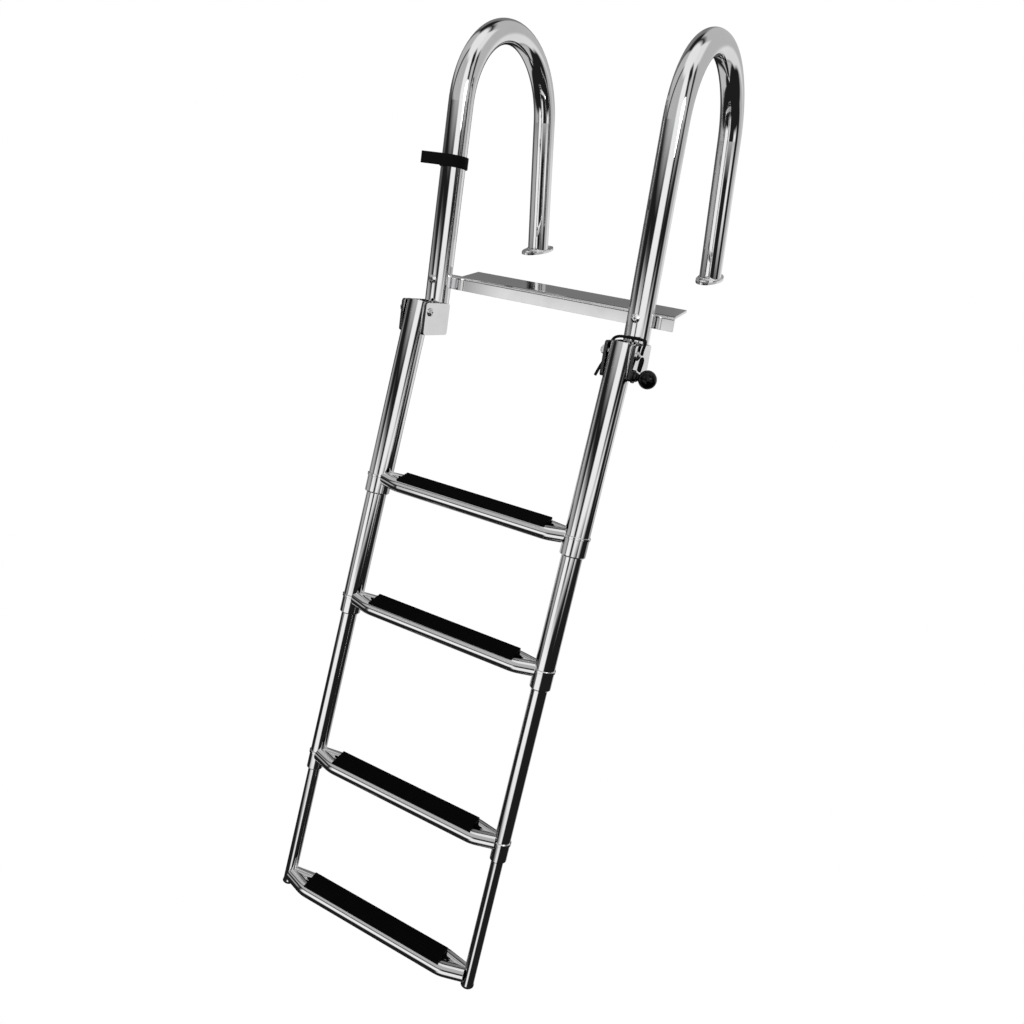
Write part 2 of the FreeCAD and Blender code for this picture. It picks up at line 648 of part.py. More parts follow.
# Step rails: a wide tube in front and a thin one behind, bent towards the stiles'
# axis, coped round the stiles and mitred against each other.
RAILS = {"front": -1, "rear": 1}
cope_height = "(4 * Sizes.front_rail_diameter)"
for section in SECTIONS:
    rise = "Sizes.rail_rise" if section in COLLARED else "Sizes.last_rail_rise"
    level = f"(Sizes.reach_{section} - {rise})"
    for rail_name, facing in RAILS.items():
        label = f"section_{section}_{rail_name}_rail"
        rail = new_body(label)
        thickness = f"Sizes.{rail_name}_rail_diameter"
        bend = f"Sizes.{rail_name}_rail_angle"
        rail_y = f"{facing} * Sizes.{rail_name}_rail_offset"
        bend_out = f"(Sizes.rail_bend_radius * sin({bend}))"
        end_back = f"({thickness} / 2 * sin({bend}) + Sizes.rail_end_share * {stile_radius(section)})"
        rail_tail = (
            f"((Sizes.stile_pitch / 2 - Sizes.rail_straight / 2 - {bend_out} - {end_back})"
            f" / cos({bend}))"
        )
        path = bent_path(
            rail, "XY_Plane", f"{label}_line", ("0", rail_y), "0",
            ["Sizes.rail_straight / 2", rail_tail], [("Sizes.rail_bend_radius", f"({-facing} * {bend})")],
        )
        tube = ring_sketch(
            rail, "YZ_Plane", f"{label}_ring", [thickness, f"{thickness} - 2 * Sizes.rail_wall"], x=rail_y
        )
        half = pipe(rail, tube, path)
        whole = rail.newObject("PartDesign::Mirrored", f"{label}_halves")
        whole.Originals = [half]
        whole.MirrorPlane = (origin_feature(rail, "YZ_Plane"), [""])
        rail.Tip = whole
        mitre = rail.newObject("PartDesign::SubtractiveBox", f"{label}_mitre")
        mitre.setExpression("Length", "2 * Sizes.stile_pitch")
        mitre.setExpression("Width", "2 * Sizes.front_rail_diameter")
        mitre.setExpression("Height", "2 * Sizes.front_rail_diameter")
        if facing == 1:
            mitre_y = "Sizes.mitre_gap / 2 - Sizes.mitre_offset - 2 * Sizes.front_rail_diameter"
        else:
            mitre_y = "-Sizes.mitre_gap / 2 - Sizes.mitre_offset"
        place(mitre, x="-Sizes.stile_pitch", y=mitre_y, z="-Sizes.front_rail_diameter")
        for side, sign in SIDES.items():
            at = f"{sign} * Sizes.stile_pitch / 2"
            bore(
                rail, f"{label}_{side}_cope", f"{stile_radius(section)} + Sizes.seat_gap", cope_height,
                x=at, y=f"-{cope_height} / 2 * sin({lean})", z=f"-{cope_height} / 2 * cos({lean})",
                angle=f"-{lean}",
            )
            if section in COLLARED:
                ring_top = f"(Sizes.collar_length + Sizes.seat_gap - {rise})"
                bore(
                    rail, f"{label}_{side}_ring_room",
                    f"{stile_radius(section)} + Sizes.ring_oversize + Sizes.seat_gap",
                    cope_height,
                    x=at,
                    y=f"({ring_top} - {cope_height}) * sin({lean})",
                    z=f"({ring_top} - {cope_height}) * cos({lean})",
                    angle=f"-{lean}",
                )
        place(rail, "0", stile_y(level), stile_z(level))

# Treads: a grooved plate on a core that fills the space between the rails, with a
# pointed nose at each end of the core.
plate_bottom = "(Sizes.tread_top - Sizes.tread_plate)"
for section in SECTIONS:
    rise = "Sizes.rail_rise" if section in COLLARED else "Sizes.last_rail_rise"
    level = f"(Sizes.reach_{section} - {rise})"
    label = f"section_{section}_tread"
    tread = new_body(label)
    plate = tread.newObject("PartDesign::AdditiveBox", f"{label}_plate")
    plate.setExpression("Length", "Sizes.tread_length")
    plate.setExpression("Width", "Sizes.tread_front + Sizes.tread_rear")
    plate.setExpression("Height", "Sizes.tread_plate")
    place(plate, x="-Sizes.tread_length / 2", y="-Sizes.tread_front", z=plate_bottom)
    core = tread.newObject("PartDesign::AdditiveBox", f"{label}_core")
    core.setExpression("Length", "Sizes.rail_straight")
    core.setExpression("Width", "Sizes.core_front + Sizes.core_rear")
    core.setExpression("Height", f"{plate_bottom} + Sizes.core_drop")
    place(core, x="-Sizes.rail_straight / 2", y="-Sizes.core_front", z="-Sizes.core_drop")
    nose_sketch = outline(tread, "XY_Plane", f"{label}_nose", [
        ("-Sizes.nose_reach", "-Sizes.mitre_offset - Sizes.nose_tip / 2"),
        ("-Sizes.rail_straight / 2", "-Sizes.mitre_offset - Sizes.nose_root / 2"),
        ("Sizes.rail_straight / 2", "-Sizes.mitre_offset - Sizes.nose_root / 2"),
        ("Sizes.nose_reach", "-Sizes.mitre_offset - Sizes.nose_tip / 2"),
        ("Sizes.nose_reach", "-Sizes.mitre_offset + Sizes.nose_tip / 2"),
        ("Sizes.rail_straight / 2", "-Sizes.mitre_offset + Sizes.nose_root / 2"),
        ("-Sizes.rail_straight / 2", "-Sizes.mitre_offset + Sizes.nose_root / 2"),
        ("-Sizes.nose_reach", "-Sizes.mitre_offset + Sizes.nose_tip / 2"),
    ])
    nose_sketch.setExpression("AttachmentOffset.Base.z", "Sizes.tread_top - Sizes.nose_drop")
    pad(tread, nose_sketch, "Sizes.nose_drop - Sizes.tread_plate")
    for rail_name, facing in RAILS.items():
        bore(
            tread, f"{label}_{rail_name}_seat",
            f"Sizes.{rail_name}_rail_diameter / 2 + Sizes.tread_clearance", "2 * Sizes.nose_reach",
            x="-Sizes.nose_reach", y=f"{facing} * Sizes.{rail_name}_rail_offset",
            axis=(0, 1, 0), angle="90",
        )
    groove = tread.newObject("PartDesign::SubtractiveBox", f"{label}_groove")
    groove.setExpression("Length", "Sizes.tread_length + 2 * Sizes.groove_depth")
    groove.setExpression("Width", "Sizes.groove_width")
    groove.setExpression("Height", "2 * Sizes.groove_depth")
    place(
        groove, x="-Sizes.tread_length / 2 - Sizes.groove_depth",
        y="(Sizes.tread_rear - Sizes.tread_front - Sizes.groove_width"
          " - (Sizes.groove_count - 1) * Sizes.groove_pitch) / 2",
        z="Sizes.tread_top - Sizes.groove_depth",
    )
    doc.recompute()
    grooves = tread.newObject("PartDesign::LinearPattern", f"{label}_grooves")
    grooves.Originals = [groove]
    grooves.Direction = (origin_feature(tread, "Y_Axis"), [""])
    grooves.setExpression("Occurrences", "Sizes.groove_count")
    grooves.setExpression("Length", "(Sizes.groove_count - 1) * Sizes.groove_pitch")
    tread.Tip = grooves
    place(tread, "0", stile_y(level), stile_z(level))

# Lanyard: a small loop tied on the lock's hub, and a cord from the pivot bolt's
# head over the bracket, round the front of the leg and down the inner cheek.
# A point is (out from the leg's middle, from the pivot to the leg, up along the leg).
loop_points = [
    (24.8, -2.3, -16.2),
    (24.8, -1.5, -11.5),
    (24.8, -0.5, -6.6),
    (24.8, 1.3, -3.0),
    (24.8, 5.1, -1.5),
    (24.8, 7.1, -4.8),
    (24.8, 6.2, -8.7),
    (24.8, 4.0, -12.9),
    (24.8, 1.8, -17.5),
]
cord_points = [
    (21.9, 7.9, 1.1),
    (22.0, 7.9, 6.2),
    (22.2, 11.7, 12.6),
    (20.5, 17.6, 17.7),
    (15.0, 22.4, 17.8),
    (5.0, 21.6, 17.8),
    (-6.0, 21.7, 17.5),
    (-15.5, 22.8, 17.2),
    (-22.0, 20.0, 13.6),
    (-21.9, 14.7, 4.9),
    (-21.9, 10.8, -5.4),
    (-21.9, 2.7, -13.2),
    (-22.4, -6.5, -20.7),
    (-23.0, -13.8, -29.9),
]


def cord_path(points):
    spots = [FreeCAD.Vector(*point) for point in points]
    edges = []
    start = spots[0]
    for before, corner, after in zip(spots, spots[1:], spots[2:]):
        into = corner - before
        away = after - corner
        half_turn = into.getAngle(away) / 2
        cut = 0.45 * min(into.Length, away.Length)
        print("cord bend radius", round(cut / math.tan(half_turn), 1))
        arc_start = corner - into.normalize() * cut
        arc_end = corner + away.normalize() * cut
        inward = (arc_start + arc_end) * 0.5 - corner
        depth = cut * (1 / math.cos(half_turn) - 1) / math.tan(half_turn)
        arc_middle = corner + inward.normalize() * depth
        edges.append(Part.LineSegment(start, arc_start).toShape())
        edges.append(Part.Arc(arc_start, arc_middle, arc_end).toShape())
        start = arc_end
    edges.append(Part.LineSegment(start, spots[-1]).toShape())
    return Part.Wire(edges)


def cord(label, points):
    wire = cord_path(points)
    radius = number("Sizes.cord_diameter / 2")
    ahead = wire.Edges[0].tangentAt(wire.Edges[0].FirstParameter)
    end_ring = Part.Wire([Part.makeCircle(radius, FreeCAD.Vector(*points[0]), ahead)])
    piece = doc.addObject("Part::Feature", label)
    piece.Label = label
    piece.Shape = wire.makePipeShell([end_ring], True, True)
    place(piece, "Sizes.stile_pitch / 2", pivot_y, pivot_z, angle=f"-{rake}")
    parts.append(piece)
    volume = math.pi * radius ** 2 * wire.Length
    print(label, "volume over section times length", round(piece.Shape.Volume / volume, 4))


cord("lanyard_loop", loop_points)
cord("lanyard", cord_points)

doc.recompute()

for item in doc.Objects:
    if "Invalid" in item.State or "Error" in item.State:
        raise RuntimeError(f"{item.Label} failed: {item.State}")
for part in parts:
    if part.Shape.isNull() or not part.Shape.isValid():
        raise RuntimeError(f"{part.Label} has no valid shape")
    if len(part.Shape.Solids) != 1:
        raise RuntimeError(f"{part.Label} has {len(part.Shape.Solids)} solids")

os.makedirs("parts", exist_ok=True)
for part in parts:
    part.Shape.exportStep(f"parts/{part.Label}.step")
print(len(parts), "pieces written")
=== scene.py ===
import bpy
import bmesh
import json
import math
from mathutils import Matrix, Vector


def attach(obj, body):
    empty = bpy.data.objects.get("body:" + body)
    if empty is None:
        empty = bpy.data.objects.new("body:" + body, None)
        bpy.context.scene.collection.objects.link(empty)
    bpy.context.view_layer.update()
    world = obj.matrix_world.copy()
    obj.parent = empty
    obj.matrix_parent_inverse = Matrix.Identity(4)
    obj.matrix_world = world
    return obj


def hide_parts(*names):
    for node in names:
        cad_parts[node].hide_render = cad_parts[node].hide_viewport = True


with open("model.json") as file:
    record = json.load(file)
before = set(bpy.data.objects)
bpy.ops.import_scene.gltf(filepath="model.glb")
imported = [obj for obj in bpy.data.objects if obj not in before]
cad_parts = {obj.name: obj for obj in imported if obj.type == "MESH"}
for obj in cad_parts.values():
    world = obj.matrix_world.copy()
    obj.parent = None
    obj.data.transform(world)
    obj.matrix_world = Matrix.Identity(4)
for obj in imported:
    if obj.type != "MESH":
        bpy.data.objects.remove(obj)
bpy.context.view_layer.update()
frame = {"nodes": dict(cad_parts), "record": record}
record = frame["record"]
print("frame loaded")

# Where the ladder hangs and how its stiles run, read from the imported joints.
joints = {joint["name"]: joint for joint in record["behaviour"]["joints"]}
pivot = Vector(joints["ladder_fold"]["pos_m"])
stileUp = Vector(joints["section_2_slide"]["axis"]).normalized()
# Half the stiles' pitch, the front legs' rake, and y of a front leg's middle line at the deck's level.
halfPitch = 0.146
legRake = math.radians(12.2)
legAtDeck = -0.03912


# Camera
viewpoint = {
    "azimuth": 24.59,
    "elevation": 24.75,
    "roll": 4.45,
    "distance": 1.12345,
    "focalPixels": 798.95,
    "aim": (0.05726, 0.0, -0.22604),
    "imageSide": 1024,
    "shiftPixels": (63.88, -54.32),
    "sensorWidth": 36,
    "clip": (0.01, 50),
}


def addCamera(spec):
    turn, tilt, lean = (math.radians(spec[key]) for key in ("azimuth", "elevation", "roll"))
    forward = Vector((-math.sin(turn) * math.cos(tilt), math.cos(turn) * math.cos(tilt), -math.sin(tilt)))
    sideways = Vector((math.cos(turn), math.sin(turn), 0))
    upward = sideways.cross(forward)
    right = sideways * math.cos(lean) + upward * math.sin(lean)
    above = upward * math.cos(lean) - sideways * math.sin(lean)
    lens = bpy.data.cameras.new("photographCamera")
    lens.sensor_width = spec["sensorWidth"]
    lens.lens = spec["focalPixels"] / spec["imageSide"] * lens.sensor_width
    lens.shift_x = -spec["shiftPixels"][0] / spec["imageSide"]
    lens.shift_y = spec["shiftPixels"][1] / spec["imageSide"]
    lens.clip_start, lens.clip_end = spec["clip"]
    camera = bpy.data.objects.new("photographCamera", lens)
    bpy.context.scene.collection.objects.link(camera)
    stand = Matrix((right, above, -forward)).transposed().to_4x4()
    stand.translation = Vector(spec["aim"]) - forward * spec["distance"]
    camera.matrix_world = stand
    bpy.context.scene.camera = camera


addCamera(viewpoint)
bpy.context.scene.view_settings.view_transform = "Standard"
print("camera placed")


# Node helpers
def freshMaterial(name):
    material = bpy.data.materials.new(name)
    material.use_nodes = True
    nodes = material.node_tree.nodes
    nodes.clear()
    output = nodes.new("ShaderNodeOutputMaterial")
    surface = nodes.new("ShaderNodeBsdfPrincipled")
    material.node_tree.links.new(surface.outputs["BSDF"], output.inputs["Surface"])
    return material, material.node_tree, surface


def newGroup(name, inputs, outputs):
    group = bpy.data.node_groups.new(name, "ShaderNodeTree")
    for label, kind, value in inputs:
        socket = group.interface.new_socket(label, in_out="INPUT", socket_type=kind)
        socket.default_value = value
    for label, kind in outputs:
        group.interface.new_socket(label, in_out="OUTPUT", socket_type=kind)
    return group, group.nodes.new("NodeGroupInput"), group.nodes.new("NodeGroupOutput")


def addNode(tree, kind, settings=None, values=None):
    node = tree.nodes.new(kind)
    for key, value in (settings or {}).items():
        setattr(node, key, value)
    for key, value in (values or {}).items():
        node.inputs[key].default_value = value
    return node


def mathNode(tree, operation, first, second=None, clamp=False):
    node = addNode(tree, "ShaderNodeMath", {"operation": operation, "use_clamp": clamp})
    for index, value in enumerate((first, second)):
        if value is None:
            continue
        if isinstance(value, (int, float)):
            node.inputs[index].default_value = value
        else:
            tree.links.new(value, node.inputs[index])
    return node.outputs[0]


def useGroup(tree, group, values):
    return addNode(tree, "ShaderNodeGroup", {"node_tree": group}, values)


# Piece helpers
def placeMesh(mesh, name, finish=None):
    if finish is not None:
        mesh.materials.append(finish)
    piece = bpy.data.objects.new(name, mesh)
    bpy.context.scene.collection.objects.link(piece)
    return piece


def finishForm(form, name, finish):
    mesh = bpy.data.meshes.new(name)
    form.to_mesh(mesh)
    form.free()
    return placeMesh(mesh, name, finish)


# Effects that more than one material uses
def buildPolishGroup():
    # Fine drawn lines along one direction, and soft smudges.
    group, source, result = newGroup(
        "polishMarks",
        [("Along", "NodeSocketVector", (1, 1, 0.02)), ("Line Scale", "NodeSocketFloat", 900.0),
         ("Smudge Scale", "NodeSocketFloat", 22.0), ("Smooth", "NodeSocketFloat", 0.06),
         ("Dull", "NodeSocketFloat", 0.16)],
        [("Roughness", "NodeSocketFloat"), ("Height", "NodeSocketFloat"), ("Tint", "NodeSocketFloat")],
    )
    links = group.links
    place = addNode(group, "ShaderNodeTexCoord")
    stretch = addNode(group, "ShaderNodeVectorMath", {"operation": "MULTIPLY"})
    links.new(place.outputs["Object"], stretch.inputs[0])
    links.new(source.outputs["Along"], stretch.inputs[1])
    lines = addNode(group, "ShaderNodeTexNoise", values={"Detail": 3.0, "Roughness": 0.6})
    links.new(stretch.outputs[0], lines.inputs["Vector"])
    links.new(source.outputs["Line Scale"], lines.inputs["Scale"])
    smudge = addNode(
        group, "ShaderNodeTexNoise", values={"Detail": 5.0, "Roughness": 0.55, "Distortion": 0.6}
    )
    links.new(place.outputs["Object"], smudge.inputs["Vector"])
    links.new(source.outputs["Smudge Scale"], smudge.inputs["Scale"])
    patch = addNode(group, "ShaderNodeMapRange", values={"From Min": 0.42, "From Max": 0.78})
    links.new(smudge.outputs["Fac"], patch.inputs["Value"])
    spread = mathNode(group, "SUBTRACT", source.outputs["Dull"], source.outputs["Smooth"])
    added = mathNode(group, "MULTIPLY", spread, patch.outputs["Result"])
    grain = mathNode(group, "MULTIPLY", mathNode(group, "SUBTRACT", lines.outputs["Fac"], 0.5), 0.03)
    rough = mathNode(group, "ADD", mathNode(group, "ADD", source.outputs["Smooth"], added), grain, True)
    links.new(rough, result.inputs["Roughness"])
    links.new(lines.outputs["Fac"], result.inputs["Height"])
    links.new(patch.outputs["Result"], result.inputs["Tint"])
    return group


def buildEdgeGroup():
    # A mask that is 1 along sharp edges, from how the normal turns within a small radius.
    group, source, result = newGroup(
        "edgeMask",
        [("Radius", "NodeSocketFloat", 0.0008), ("Strength", "NodeSocketFloat", 3.0)],
        [("Mask", "NodeSocketFloat"), ("Normal", "NodeSocketVector")],
    )
    links = group.links
    soft = addNode(group, "ShaderNodeBevel", {"samples": 4})
    links.new(source.outputs["Radius"], soft.inputs["Radius"])
    sharp = addNode(group, "ShaderNodeNewGeometry")
    compare = addNode(group, "ShaderNodeVectorMath", {"operation": "DOT_PRODUCT"})
    links.new(soft.outputs[0], compare.inputs[0])
    links.new(sharp.outputs["Normal"], compare.inputs[1])
    turned = mathNode(group, "SUBTRACT", 1.0, compare.outputs["Value"])
    mask = mathNode(group, "MULTIPLY", turned, source.outputs["Strength"], True)
    links.new(mask, result.inputs["Mask"])
    links.new(soft.outputs[0], result.inputs["Normal"])
    return group


polishMarks = buildPolishGroup()
edgeMask = buildEdgeGroup()


# Finishes
def mixColours(tree, factor, first, second):
    # Each colour is a plain one or another node's output.
    node = addNode(tree, "ShaderNodeMix", {"data_type": "RGBA"})
    tree.links.new(factor, node.inputs["Factor"])
    for index, colour in ((6, first), (7, second)):
        if isinstance(colour, tuple):
            node.inputs[index].default_value = (*colour, 1)
        else:
            tree.links.new(colour, node.inputs[index])
    return node.outputs[2]


def polishedSteel(name, look):
    # A sheared axis marks a cut plate: faces that don't look along it are its dull sawn edges; their extra
    # roughness is the sawn finish, their near-black colour is painted shade.
    material, tree, surface = freshMaterial(name)
    marks = useGroup(tree, polishMarks, {
        "Along": look["along"], "Line Scale": look["lineScale"], "Smudge Scale": look["smudgeScale"],
        "Smooth": look["smooth"], "Dull": look["dull"],
    })
    colour = mixColours(tree, marks.outputs["Tint"], look["bright"], look["hazy"])
    rough = marks.outputs["Roughness"]
    edges = useGroup(tree, edgeMask, {"Radius": look["edgeRadius"], "Strength": look["edgeStrength"]})
    # Painted shade: sharp edges are darkened, standing in for the shadow ring round a bolt's head.
    if look["edgeShade"]:
        edgeShade = mathNode(tree, "MULTIPLY", edges.outputs["Mask"], look["edgeShade"], True)
        colour = mixColours(tree, edgeShade, colour, look["edgeShadeColour"])
    if look["sheared"] is not None:
        place = addNode(tree, "ShaderNodeTexCoord")
        facing = addNode(tree, "ShaderNodeSeparateXYZ")
        tree.links.new(place.outputs["Normal"], facing.inputs[0])
        ahead = mathNode(tree, "ABSOLUTE", facing.outputs[look["sheared"]])
        side = mathNode(tree, "LESS_THAN", ahead, sawnEdgeShade["facing"])
        saw = addNode(tree, "ShaderNodeTexNoise", values={"Scale": sawnEdgeShade["scale"], "Detail": 3.0})
        tree.links.new(place.outputs["Object"], saw.inputs["Vector"])
        # Painted shade: the cut edges are coloured near black, with a little noise in it.
        sawnShade = mixColours(tree, saw.outputs["Fac"], sawnEdgeShade["deep"], sawnEdgeShade["pale"])
        colour = mixColours(tree, side, colour, sawnShade)
        rough = mathNode(tree, "ADD", rough, mathNode(tree, "MULTIPLY", side, sawnEdgeShade["rough"]), True)
    tree.links.new(colour, surface.inputs["Base Color"])
    tree.links.new(rough, surface.inputs["Roughness"])
    bump = addNode(tree, "ShaderNodeBump", values={"Strength": look["bump"], "Distance": 0.0001})
    tree.links.new(marks.outputs["Height"], bump.inputs["Height"])
    tree.links.new(edges.outputs["Normal"], bump.inputs["Normal"])
    tree.links.new(bump.outputs["Normal"], surface.inputs["Normal"])
    surface.inputs["Metallic"].default_value = 1.0
    return material


# Cut edges: the extra roughness is the sawn finish; the near-black colours are painted shade.
sawnEdgeShade = {
    "deep": (0.015, 0.015, 0.015), "pale": (0.09, 0.09, 0.09), "facing": 0.6, "rough": 0.32, "scale": 1800.0,
}
tubeLook = {
    "along": (1.0, 1.0, 0.015), "lineScale": 1500.0, "smudgeScale": 16.0, "smooth": 0.014, "dull": 0.05,
    "bright": (0.87, 0.87, 0.872), "hazy": (0.82, 0.82, 0.82), "bump": 0.006, "edgeRadius": 0.0006,
    "edgeStrength": 6.0, "sheared": None, "edgeShade": 0.0, "edgeShadeColour": (0.05, 0.05, 0.05),
}
railLook = dict(tubeLook, along=(0.015, 1.0, 1.0))
plateLook = dict(
    tubeLook, along=(0.02, 1.0, 1.0), smooth=0.05, dull=0.14, bump=0.04, lineScale=900.0,
    bright=(0.80, 0.80, 0.81), hazy=(0.74, 0.74, 0.74),
)
cheekLook = dict(plateLook, smooth=0.07, dull=0.15, sheared="X")
# Bolts get painted shade along their sharp edges, a dark ring round each head.
boltLook = dict(tubeLook, along=(1.0, 1.0, 1.0), smooth=0.10, dull=0.2, lineScale=400.0, edgeShade=0.85)
weldLook = dict(tubeLook, along=(1.0, 1.0, 1.0), smooth=0.16, dull=0.32, lineScale=300.0, bump=0.25)


def blackMoulding(name, look):
    material, tree, surface = freshMaterial(name)
    place = addNode(tree, "ShaderNodeTexCoord")
    pebble = addNode(tree, "ShaderNodeTexVoronoi", values={"Scale": look["pebbleScale"]})
    tree.links.new(place.outputs["Object"], pebble.inputs["Vector"])
    cloud = addNode(tree, "ShaderNodeTexNoise", values={"Scale": look["cloudScale"], "Detail": 6.0})
    tree.links.new(place.outputs["Object"], cloud.inputs["Vector"])
    edges = useGroup(tree, edgeMask, {"Radius": look["edgeRadius"], "Strength": look["edgeWear"]})
    worn = mathNode(tree, "MULTIPLY", edges.outputs["Mask"], cloud.outputs["Fac"], True)
    tree.links.new(mixColours(tree, worn, look["colour"], look["wornColour"]), surface.inputs["Base Color"])
    shade = addNode(tree, "ShaderNodeMapRange", values={"To Min": look["smooth"], "To Max": look["dull"]})
    tree.links.new(cloud.outputs["Fac"], shade.inputs["Value"])
    tree.links.new(shade.outputs["Result"], surface.inputs["Roughness"])
    bump = addNode(tree, "ShaderNodeBump", values={"Strength": look["bump"], "Distance": 0.0002})
    tree.links.new(pebble.outputs["Distance"], bump.inputs["Height"])
    tree.links.new(edges.outputs["Normal"], bump.inputs["Normal"])
    tree.links.new(bump.outputs["Normal"], surface.inputs["Normal"])
    surface.inputs["Specular IOR Level"].default_value = look["shine"]
    return material


treadLook = {
    "colour": (0.0015, 0.0015, 0.0015), "wornColour": (0.03, 0.03, 0.03), "smooth": 0.45, "dull": 0.62,
    "pebbleScale": 1400.0, "cloudScale": 60.0, "bump": 0.30, "edgeRadius": 0.0005, "edgeWear": 1.0,
    "shine": 0.02,
}
plugLook = dict(treadLook, smooth=0.35, dull=0.5, pebbleScale=900.0, shine=0.3)
knobLook = dict(
    treadLook, colour=(0.001, 0.001, 0.001), wornColour=(0.004, 0.004, 0.004), smooth=0.08, dull=0.18,
    bump=0.03, pebbleScale=300.0, shine=0.22,
)
housingLook = dict(treadLook, colour=(0.002, 0.002, 0.002), smooth=0.28, dull=0.42, bump=0.12, shine=0.3)

tubeSteel = polishedSteel("polishedTube", tubeLook)
railSteel = polishedSteel("polishedRail", railLook)
plateSteel = polishedSteel("polishedPlate", plateLook)
cheekSteel = polishedSteel("polishedCheek", cheekLook)
boltSteel = polishedSteel("boltSteel", boltLook)
weldSteel = polishedSteel("weldBead", weldLook)
treadBlack = blackMoulding("treadBlack", treadLook)
plugBlack = blackMoulding("plugBlack", plugLook)
knobBlack = blackMoulding("knobBlack", knobLook)
housingBlack = blackMoulding("housingBlack", housingLook)
print("materials made")


def finishFor(name):
    if name.endswith("tread"):
        return treadBlack
    if name.endswith("end_plug"):
        return plugBlack
    if name == "lock_knob":
        return knobBlack
    if name == "lock_housing":
        return housingBlack
    if name.endswith("rail") and "section" in name:
        return railSteel
    if name.endswith("cheek"):
        return cheekSteel
    if name.endswith("flange") or name == "deck_angle":
        return plateSteel
    if name.endswith("bolt"):
        return boltSteel
    return tubeSteel


for name, node in frame["nodes"].items():
    node.data.materials.clear()
    node.data.materials.append(finishFor(name))
print("solids dressed")


# Lanyard and strap
def dressThread(tree, surface, pattern, look):
    # Threads show as colour and as relief, and have next to no gloss.
    tree.links.new(mixColours(tree, pattern, look["deep"], look["colour"]), surface.inputs["Base Color"])
    bump = addNode(tree, "ShaderNodeBump", values={"Strength": look["relief"], "Distance": look["height"]})
    tree.links.new(pattern, bump.inputs["Height"])
    tree.links.new(bump.outputs["Normal"], surface.inputs["Normal"])
    for socket in ("Roughness", "Specular IOR Level", "Sheen Weight"):
        surface.inputs[socket].default_value = look[socket]


def cordFinish(name, look):
    material, tree, surface = freshMaterial(name)
    place = addNode(tree, "ShaderNodeTexCoord")
    waves = []
    for turn in (1, -1):
        lay = addNode(tree, "ShaderNodeMapping")
        lay.inputs["Rotation"].default_value = (0.6 * turn, 0.9 * turn, 0.8)
        tree.links.new(place.outputs["Object"], lay.inputs["Vector"])
        wave = addNode(tree, "ShaderNodeTexWave", {"wave_type": "BANDS"},
                       {"Scale": look["strands"], "Distortion": 1.0})
        tree.links.new(lay.outputs["Vector"], wave.inputs["Vector"])
        waves.append(wave.outputs["Fac"])
    dressThread(tree, surface, mathNode(tree, "MAXIMUM", *waves), look)
    return material


def webFinish(name, look):
    material, tree, surface = freshMaterial(name)
    place = addNode(tree, "ShaderNodeUVMap", {"uv_map": "weave"})
    waves = []
    for direction, scale in (("X", look["picks"]), ("Y", look["ends"])):
        wave = addNode(tree, "ShaderNodeTexWave", {"wave_type": "BANDS", "bands_direction": direction},
                       {"Scale": scale, "Distortion": 0.6, "Detail": 1.0})
        tree.links.new(place.outputs["UV"], wave.inputs["Vector"])
        waves.append(wave.outputs["Fac"])
    weave = mathNode(tree, "MULTIPLY", *waves)
    fuzz = addNode(tree, "ShaderNodeTexNoise", values={"Scale": 900.0, "Detail": 4.0})
    mixed = mathNode(tree, "ADD", weave, mathNode(tree, "MULTIPLY", fuzz.outputs["Fac"], 0.35), True)
    dressThread(tree, surface, mixed, look)
    return material


threadLook = {
    "deep": (0.001, 0.001, 0.001), "colour": (0.005, 0.005, 0.005),
    "Specular IOR Level": 0.06, "Sheen Weight": 0.02,
}
cordLook = dict(threadLook, strands=260.0, relief=0.7, height=0.0004, Roughness=0.75)
webLook = dict(threadLook, picks=260.0, ends=330.0, relief=0.8, height=0.0003, Roughness=0.8)
cordBlack = cordFinish("cordBraid", cordLook)
webBlack = webFinish("webWeave", webLook)

# Route points are in mm from the right pivot, in the leg's own raked frame.
lanyard = {
    "diameter": 0.0036,
    "loopLength": 0.0346,
    "loop": [
        (24.8, -2.3, -16.2), (24.8, -1.5, -11.5), (24.8, -0.5, -6.6), (24.8, 1.3, -3.0), (24.8, 5.1, -1.5),
        (24.8, 7.1, -4.8), (24.8, 6.2, -8.7), (24.8, 4.0, -12.9), (24.8, 1.8, -17.5),
    ],
    "runLength": 0.12,
    "run": [
        (21.9, 7.9, 1.1), (22.0, 7.9, 6.2), (22.2, 11.7, 12.6), (20.5, 17.6, 17.7), (15.0, 22.4, 17.8),
        (5.0, 21.6, 17.8), (-6.0, 21.7, 17.5), (-15.5, 22.8, 17.2), (-22.0, 20.0, 13.6), (-21.9, 14.7, 4.9),
        (-21.9, 10.8, -5.4), (-21.9, 2.7, -13.2), (-22.4, -6.5, -20.7), (-23.0, -13.8, -29.9),
    ],
}


def layCord(name, points, spec):
    lean = Matrix.Rotation(-legRake, 3, "X")
    middle = Vector((halfPitch, pivot.y, pivot.z))
    curve = bpy.data.curves.new(name, "CURVE")
    curve.dimensions = "3D"
    spline = curve.splines.new("NURBS")
    spline.points.add(len(points) - 1)
    for spot, point in zip(spline.points, points):
        spot.co = (*(middle + lean @ (Vector(point) * 0.001)), 1)
    spline.order_u = 3
    spline.use_endpoint_u = True
    curve.bevel_depth = spec["diameter"] / 2
    curve.bevel_resolution = 6
    curve.resolution_u = 16
    curve.use_fill_caps = True
    curve.materials.append(cordBlack)
    cord = bpy.data.objects.new(name, curve)
    bpy.context.scene.collection.objects.link(cord)
    return cord


for piece, node, route in (("lanyardRun", "lanyard", "run"), ("lanyardLoop", "lanyard_loop", "loop")):
    line = layCord(piece, lanyard[route], lanyard)
    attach(line, "handrails")
    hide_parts(node)
print("lanyard laid")

